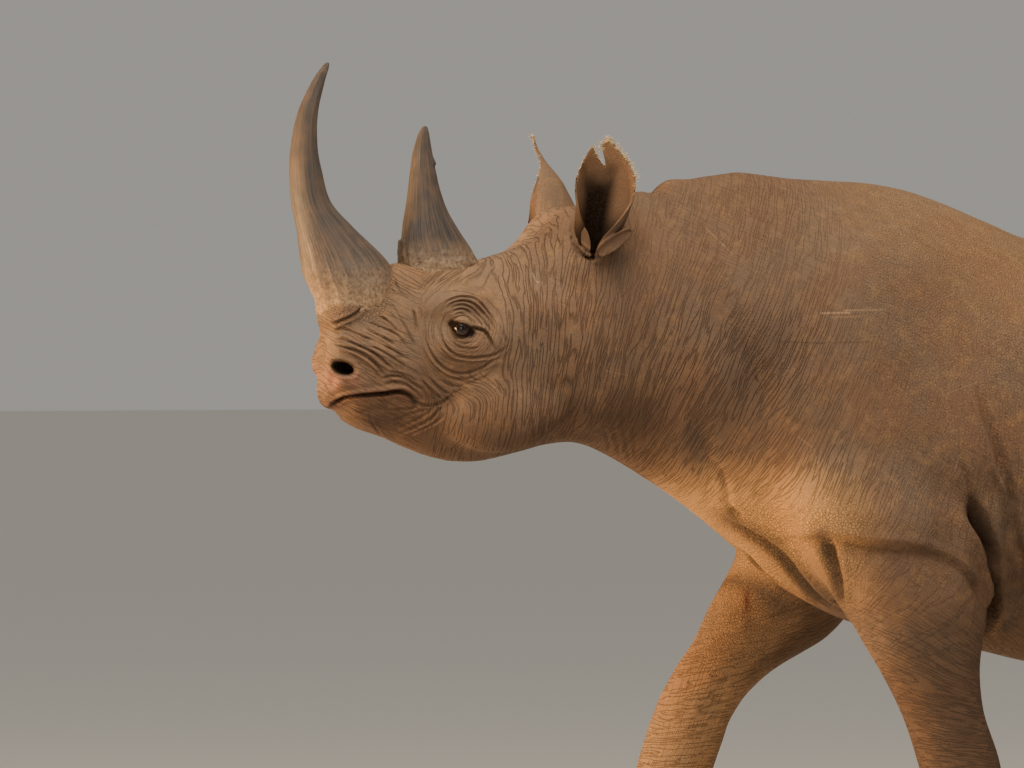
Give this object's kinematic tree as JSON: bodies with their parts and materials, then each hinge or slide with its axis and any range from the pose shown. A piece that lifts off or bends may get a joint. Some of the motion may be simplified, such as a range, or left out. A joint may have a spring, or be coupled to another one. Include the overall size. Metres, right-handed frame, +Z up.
{
  "type": "black rhinoceros",
  "caption": "Life-size still model of an adult black rhinoceros in mid-stride, with long curved horns, torn ears and a hooked upper lip.",
  "frame": {"origin": "middle of the bounding box at the ground, under the belly", "axes": "-X forwards, out of the muzzle; -Y to the animal's left; +Z up"},
  "size_m": [2.948, 0.8154, 1.712],
  "materials": {
    "hide": "dry, dusty and deeply wrinkled",
    "horn_keratin": "fibrous, worn smooth towards the tip",
    "nail_keratin": "scuffed keratin",
    "eye_surface": "wet and glossy",
    "bristle": "coarse black hair"
  },
  "bodies": {
    "root": {"ear_left": "hide", "ear_right": "hide", "eye_left": "eye_surface", "eye_right": "eye_surface", "head": "hide", "horn_front": "horn_keratin", "horn_rear": "horn_keratin", "leg_front_left": "hide", "leg_front_right": "hide", "leg_hind_left": "hide", "leg_hind_right": "hide", "nail_front_left_1": "nail_keratin", "nail_front_left_2": "nail_keratin", "nail_front_left_3": "nail_keratin", "nail_front_right_1": "nail_keratin", "nail_front_right_2": "nail_keratin", "nail_front_right_3": "nail_keratin", "nail_hind_left_1": "nail_keratin", "nail_hind_left_2": "nail_keratin", "nail_hind_left_3": "nail_keratin", "nail_hind_right_1": "nail_keratin", "nail_hind_right_2": "nail_keratin", "nail_hind_right_3": "nail_keratin", "neck": "hide", "tail": "hide", "tail_tuft": "bristle", "trunk": "hide"}
  },
  "joints": []
}
